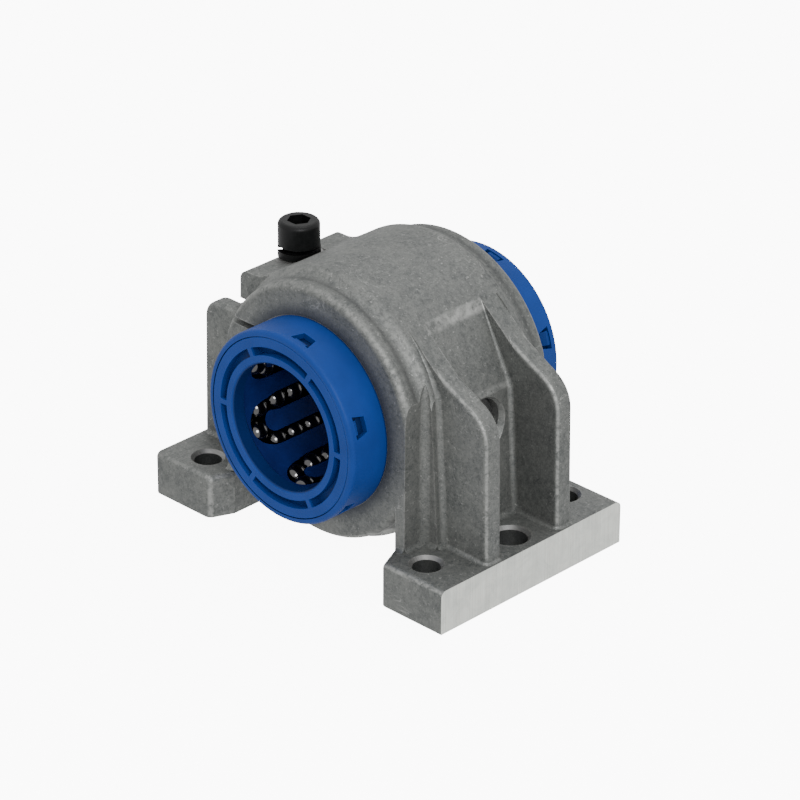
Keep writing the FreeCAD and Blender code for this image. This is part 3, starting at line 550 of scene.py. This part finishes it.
def blue_plastic():
    """satin moulded plastic with a dark seam line, painted shade in its windows, recesses and bore, a
    painted contact shadow where it meets the housing and a painted highlight along its edges
    """
    graph = Graph("blue_plastic_finish")
    cloud = graph.noise(140.0, 3.0, 0.5)
    depth = graph.from_axis()
    reach = graph.size_of(graph.part_of_place("Y"))
    outside = graph.over(depth, SLEEVE_INNER)
    seam = graph.near(depth, SEAM_RADIUS, 0.1 * MM, 0.06 * MM)
    windows = graph.both(outside, graph.under(depth, SLEEVE_OUTER), graph.under(reach, WINDOW_END))
    in_recess = graph.both(graph.over(depth, RECESS_INNER), graph.under(depth, RECESS_OUTER))
    recesses = graph.both(in_recess, graph.under(reach, RECESS_END))
    root = graph.both(outside, graph.below(reach, RING_ROOT, 0.35 * MM))
    # painted shade in the windows, the cap's bore and the recesses, and a painted contact shadow at the
    # root by the housing; the seam is a dark joint line
    dark = graph.either(
        graph.both(seam, 0.8),
        graph.both(windows, 0.2),
        graph.both(graph.below(depth, CAP_BORE), 0.62),
        graph.both(recesses, 0.4),
        graph.both(root, 0.8),
    )
    fine, texture = fine_texture(graph)
    return graph.surface(
        colour=graph.layered(
            graph.mix_colour(graph.ramp(cloud, EVEN_SPREAD), shade(BLUE, 0.82), BLUE),
            # painted highlight along the edges
            (graph.both(graph.edges(0.25 * MM), 0.35), shade(BLUE, 1.5, 0.004)),
            (dark, shade(BLUE, 0.12)),
        ),
        roughness=graph.mix_value(fine, 0.44, 0.58),
        specular=0.22,
        normal=texture,
    )


def cage_plastic():
    """the cage's bore is the blue plastic darkened as painted shade; inside the ball tracks it is near
    black, greasy and darker still as painted shade
    """
    graph = Graph("cage_plastic_finish")
    land = graph.below(graph.from_axis(), CAGE_LAND, 0.02 * MM)
    cloud = graph.noise(260.0, 3.0, 0.55)
    # the tracks are greasy and darker still as painted shade; the land is the blue darkened as painted
    # shade
    grease_and_shade = graph.mix_colour(graph.ramp(cloud, [(0.35, 0.0), (0.7, 1.0)]), GREASE_AND_SHADE_DARK, GREASE_AND_SHADE_LIGHT)
    blue = graph.mix_colour(graph.ramp(cloud, EVEN_SPREAD), SHADED_CAGE_BLUE_DARK, SHADED_CAGE_BLUE_LIGHT)
    return graph.surface(
        colour=graph.mix_colour(land, grease_and_shade, blue),
        roughness=graph.mix_value(land, 0.34, 0.5),
        specular=0.2,
        normal=fine_texture(graph)[1],
    )


def steel(name, colour, roughness, spread, grain=(1.0, 1.0, 1.0)):
    """bare steel, with streaks along the axes on which its grain is least"""
    graph = Graph(name)
    streak = graph.noise(700.0, 4.0, 0.6, place=graph.stretch(grain))
    return graph.surface(
        colour=graph.mix_colour(graph.ramp(streak, EVEN_SPREAD), shade(colour, 0.75), colour),
        metallic=1.0,
        roughness=graph.mix_value(streak, roughness, roughness + spread),
        normal=graph.bump(streak, 0.01 * MM, 0.4),
    )


def screw_thread(graph):
    """the height of a rolled thread on the screw's shank, from 0 to 1"""
    across = graph.math("SUBTRACT", graph.part_of_place("X"), SCREW_ACROSS)
    angle = graph.math("ARCTAN2", graph.part_of_place("Y"), across)
    climb = graph.math("DIVIDE", graph.part_of_place("Z"), THREAD_PITCH)
    phase = graph.math("FRACT", graph.math("SUBTRACT", climb, graph.math("DIVIDE", angle, 2.0 * math.pi)))
    ridge = graph.size_of(graph.math("SUBTRACT", graph.both(phase, 2.0), 1.0))
    return graph.both(
        ridge,
        graph.under(graph.away_from(SCREW_ACROSS, 0.0, "XY"), SHANK_RADIUS),
        graph.under(graph.part_of_place("Z"), SHANK_TOP),
    )


def black_steel():
    """black oxide steel, a little rubbed at its edges"""
    graph = Graph("black_steel_finish")
    cloud = graph.noise(900.0, 4.0, 0.6)
    rub = graph.both(graph.edges(0.25 * MM), graph.ramp(cloud, [(0.4, 0.0), (0.6, 0.35)]))
    thread = graph.bump(screw_thread(graph), THREAD_DEPTH)
    return graph.surface(
        colour=graph.layered(
            graph.mix_colour(graph.ramp(cloud, EVEN_SPREAD), BLACK_DARK, BLACK_LIGHT), (rub, BLACK_RUB),
        ),
        metallic=0.6,
        roughness=graph.mix_value(cloud, 0.34, 0.5),
        normal=graph.bump(cloud, 0.01 * MM, 0.4, thread),
    )


finishes = {
    "cast_aluminium": cast_metal("cast_aluminium_finish", wear=0.7),
    "blue_plastic": blue_plastic(),
    "cage_plastic": cage_plastic(),
    # the balls' steel is darkened as painted shade
    "ball_steel": steel("shaded_ball_steel_finish", SHADED_BALL_STEEL, 0.1, 0.04),
    "plate_steel": steel("plate_steel_finish", PLATE_STEEL, 0.32, 0.1, grain=(8.0, 1.0, 8.0)),
    "black_steel": black_steel(),
}

for entry in frame["record"]["subparts"]:
    node = frame["nodes"][entry["node"]]
    node.data.materials.clear()
    node.data.materials.append(finishes[entry["material_slot"]])


# Cast fillets in the housing's inner corners, in millimetres until the mesh is made

ARC_STEPS = 8
SINK = 0.02
CORE = 0.1
SMOOTH_ANGLE = math.radians(35.0)
UP = (0, 0, 1)

FOOT_TOP = 11.0
POCKET_Y = 9.25
RIB_Y = 14.25
WALL_Y = 16.6
LEG_Y = 23.0
LEG_X = 29.0
RIB_X = 46.35
RIB_ROUND = 1.2
WALL_X = 33.2
WALL_LEAN = {1: math.tan(math.radians(3.6)), -1: 0.9 / 48.0}
BARREL_RADIUS = 33.0
FLAT_CORNER = (21.6, 61.1)

WALL_FILLET = 1.5
FOOT_FILLET = 1.2
LEG_FILLET = 1.4
RIB_TURN_FILLET = 0.9
TURN_STEPS = 5

# heights and radii along an upright corner, angles and radii up the barrel, places and radii along a foot
POCKET_HEIGHTS = {
    1: ((FOOT_TOP, WALL_FILLET), (43.07, WALL_FILLET)),
    -1: ((FOOT_TOP, WALL_FILLET), (44.2, WALL_FILLET), (46.2, 0.2)),
}
FLANK_HEIGHTS = {
    1: ((FOOT_TOP, WALL_FILLET), (44.2, 1.4)),
    -1: ((FOOT_TOP, WALL_FILLET), (44.2, 1.4), (46.2, 0.2)),
}
BARREL_ANGLES = ((21.0, 1.4), (28.0, 1.1), (36.0, 0.8), (44.0, 0.5), (49.0, 0.2))
LEG_HEIGHTS = ((FOOT_TOP, 2.2), (40.0, 2.0), (46.0, 1.8), (48.5, 1.5), (50.5, 0.9), (51.5, 0.3))
ARCH_PLACES = ((26.2, 0.2), (26.9, 1.0), (27.8, LEG_FILLET), (LEG_X, LEG_FILLET))
LEFT_RIB_PLACES = ((-44.6, FOOT_FILLET), (-45.9, 0.2))
RIB_STRAIGHT_END = RIB_X - RIB_ROUND - 2.0


def strip_points(place, first, second, radius):
    """the corner's section: a core point inside the metal, then the hollow arc from face to face"""
    place, first, second = Vector(place), Vector(first).normalized(), Vector(second).normalized()
    both = first + second
    middle = place + both * (radius - SINK)
    ring = [place - both * CORE]
    for step in range(ARC_STEPS + 1):
        angle = math.pi / 2 * step / ARC_STEPS
        ring.append(middle - (second * math.cos(angle) + first * math.sin(angle)) * radius)
    return ring


def add_strip(corners, faces, stations):
    """a fillet through stations, each a place, two directions along the faces and a radius"""
    rings = []
    for station in stations:
        rings.append(len(corners))
        corners.extend(point * MM for point in strip_points(*station))
    count = ARC_STEPS + 2
    for near, far in zip(rings, rings[1:]):
        for step in range(count):
            following = (step + 1) % count
            faces.append((near + step, near + following, far + following, far + step))
    faces.append(tuple(range(rings[0], rings[0] + count)))
    faces.append(tuple(range(rings[-1], rings[-1] + count)))


def wall_at(side, height):
    """how far out the housing's leaning side wall is"""
    return side * (WALL_X - (height - FOOT_TOP) * WALL_LEAN[side])


def upright_strips(side, end):
    """the corners that run up: in the pocket, at the rib's flank and at the leg"""
    inward, outward, out = (0, -end, 0), (0, end, 0), (side, 0, 0)
    pocket = [
        ((wall_at(side, height), end * POCKET_Y, height), inward, out, size)
        for height, size in POCKET_HEIGHTS[side]
    ]
    flank = [
        ((wall_at(side, height), end * RIB_Y, height), outward, out, size)
        for height, size in FLANK_HEIGHTS[side]
    ]
    if side > 0:
        # the pocket's goes on up the sloping flat, the flank's up the barrel to where the rib runs out
        across, height = FLAT_CORNER
        normal = (math.cos(FLAT_ANGLE), 0, math.sin(FLAT_ANGLE))
        pocket.append(((across, end * POCKET_Y, height), inward, normal, 0.25))
        for degrees, size in BARREL_ANGLES:
            angle = math.radians(degrees)
            radial = (math.cos(angle), 0, math.sin(angle))
            place = (BARREL_RADIUS * radial[0], end * RIB_Y, AXIS_HEIGHT / MM + BARREL_RADIUS * radial[2])
            flank.append((place, outward, radial, size))
    leg = [((side * LEG_X, end * WALL_Y, height), out, outward, size) for height, size in LEG_HEIGHTS]
    return [pocket, flank, leg]


def leg_strips(side, end):
    """the corners round the leg, where it stands on the foot"""
    outward, out = (0, end, 0), (side, 0, 0)
    wall = wall_at(side, FOOT_TOP)
    strips = []
    for start, finish, along, size in (
        ((wall, end * RIB_Y), (wall, end * WALL_Y), out, FOOT_FILLET),
        ((side * LEG_X, end * WALL_Y), (wall, end * WALL_Y), outward, LEG_FILLET),
        ((side * LEG_X, end * WALL_Y), (side * LEG_X, end * LEG_Y), out, LEG_FILLET),
    ):
        strips.append([((*spot, FOOT_TOP), along, UP, size) for spot in (start, finish)])
    strips.append([
        ((side * across, end * LEG_Y, FOOT_TOP), outward, UP, size) for across, size in ARCH_PLACES
    ])
    return strips


def rib_turn(end, first_angle, middle):
    """stations round one of the rib's rounded outer edges"""
    stations = []
    for step in range(TURN_STEPS):
        angle = first_angle + math.pi / 2 * step / (TURN_STEPS - 1)
        lean = (math.cos(angle), end * math.sin(angle), 0)
        place = (RIB_X - RIB_ROUND + RIB_ROUND * lean[0], end * middle + RIB_ROUND * lean[1], FOOT_TOP)
        stations.append((place, lean, UP, RIB_TURN_FILLET))
    return stations


def rib_strips(side, end):
    """the corners round a rib, where it stands on its foot"""
    wall = wall_at(side, FOOT_TOP)
    faces_of_rib = ((POCKET_Y, (0, -end, 0)), (RIB_Y, (0, end, 0)))
    if side < 0:
        # the left foot's top is round at its rim, so these fillets stop before it
        return [
            [((across, end * level, FOOT_TOP), lean, UP, size)
             for across, size in ((wall, FOOT_FILLET), *LEFT_RIB_PLACES)]
            for level, lean in faces_of_rib
        ]
    straight = [
        [((across, end * level, FOOT_TOP), lean, UP, FOOT_FILLET) for across in (wall, RIB_STRAIGHT_END)]
        for level, lean in faces_of_rib
    ]
    return [
        straight[0]
        + rib_turn(end, -math.pi / 2, POCKET_Y + RIB_ROUND)
        + rib_turn(end, 0.0, RIB_Y - RIB_ROUND)
        + straight[1][::-1]
    ]


def make_fillets(name, side):
    """all the fillets of one side of the housing, side 1 the right and -1 the left"""
    corners, faces = [], []
    for end in (-1, 1):
        for stations in upright_strips(side, end) + leg_strips(side, end) + rib_strips(side, end):
            add_strip(corners, faces, stations)
    add_strip(corners, faces, [
        ((wall_at(side, FOOT_TOP), level, FOOT_TOP), (side, 0, 0), UP, WALL_FILLET)
        for level in (-POCKET_Y, POCKET_Y)
    ])
    mesh = bpy.data.meshes.new(name)
    mesh.from_pydata(corners, [], faces)
    shape = bmesh.new()
    shape.from_mesh(mesh)
    bmesh.ops.recalc_face_normals(shape, faces=shape.faces)
    shape.to_mesh(mesh)
    shape.free()
    mesh.polygons.foreach_set("use_smooth", [True] * len(mesh.polygons))
    mesh.set_sharp_from_angle(angle=SMOOTH_ANGLE)
    mesh.materials.append(cast_metal("cast_fillet_finish_" + name, wear=0.06))
    piece = bpy.data.objects.new(name, mesh)
    bpy.context.scene.collection.objects.link(piece)
    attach(piece, "block")


make_fillets("corner_fillets_right", 1)
make_fillets("corner_fillets_left", -1)


# Floor and light

FLOOR_HALF = 6.0
FLOOR_GLOW = 9.0
LIGHT_AIM = (0, 0, 0.03)


def make_floor():
    """a plain pale floor, lit by itself and left out of the light on the part"""
    mesh = bpy.data.meshes.new("floor")
    square = ((-1, -1), (1, -1), (1, 1), (-1, 1))
    corners = [(across * FLOOR_HALF, end * FLOOR_HALF, 0) for across, end in square]
    mesh.from_pydata(corners, [], [(0, 1, 2, 3)])
    floor = bpy.data.objects.new("floor", mesh)
    bpy.context.scene.collection.objects.link(floor)
    finish = Graph("floor_finish").surface(
        colour=(0.96, 0.96, 0.96), roughness=0.95, glow=(1.0, 1.0, 1.0), glow_strength=FLOOR_GLOW,
    )
    floor.visible_diffuse = False
    floor.visible_glossy = False
    mesh.materials.append(finish)


def make_light(name, place, size, power):
    data = bpy.data.lights.new(name, "AREA")
    data.shape = "DISK"
    data.size = size
    data.energy = power
    light = bpy.data.objects.new(name, data)
    light.location = place
    light.rotation_mode = "QUATERNION"
    light.rotation_quaternion = (Vector(LIGHT_AIM) - Vector(place)).to_track_quat("-Z", "Y")
    bpy.context.scene.collection.objects.link(light)


def make_world(low, high):
    """an even tent of light, brighter overhead than underneath"""
    world = bpy.data.worlds.new("studio")
    world.use_nodes = True
    tree = world.node_tree
    sky = tree.nodes["Background"]
    sky.inputs["Color"].default_value = (1.0, 1.0, 1.0, 1.0)
    direction = tree.nodes.new("ShaderNodeTexCoord")
    height = tree.nodes.new("ShaderNodeSeparateXYZ")
    level = tree.nodes.new("ShaderNodeMapRange")
    tree.links.new(direction.outputs["Generated"], height.inputs["Vector"])
    tree.links.new(height.outputs["Z"], level.inputs["Value"])
    for socket, setting in (("From Min", -0.5), ("From Max", 0.8), ("To Min", low), ("To Max", high)):
        level.inputs[socket].default_value = setting
    tree.links.new(level.outputs["Result"], sky.inputs["Strength"])
    bpy.context.scene.world = world


make_floor()
make_world(0.97, 1.08)
make_light("key", (0.7, -0.5, 0.6), 0.4, 5.0)
make_light("top", (-0.1, 0.2, 1.0), 0.6, 2.0)
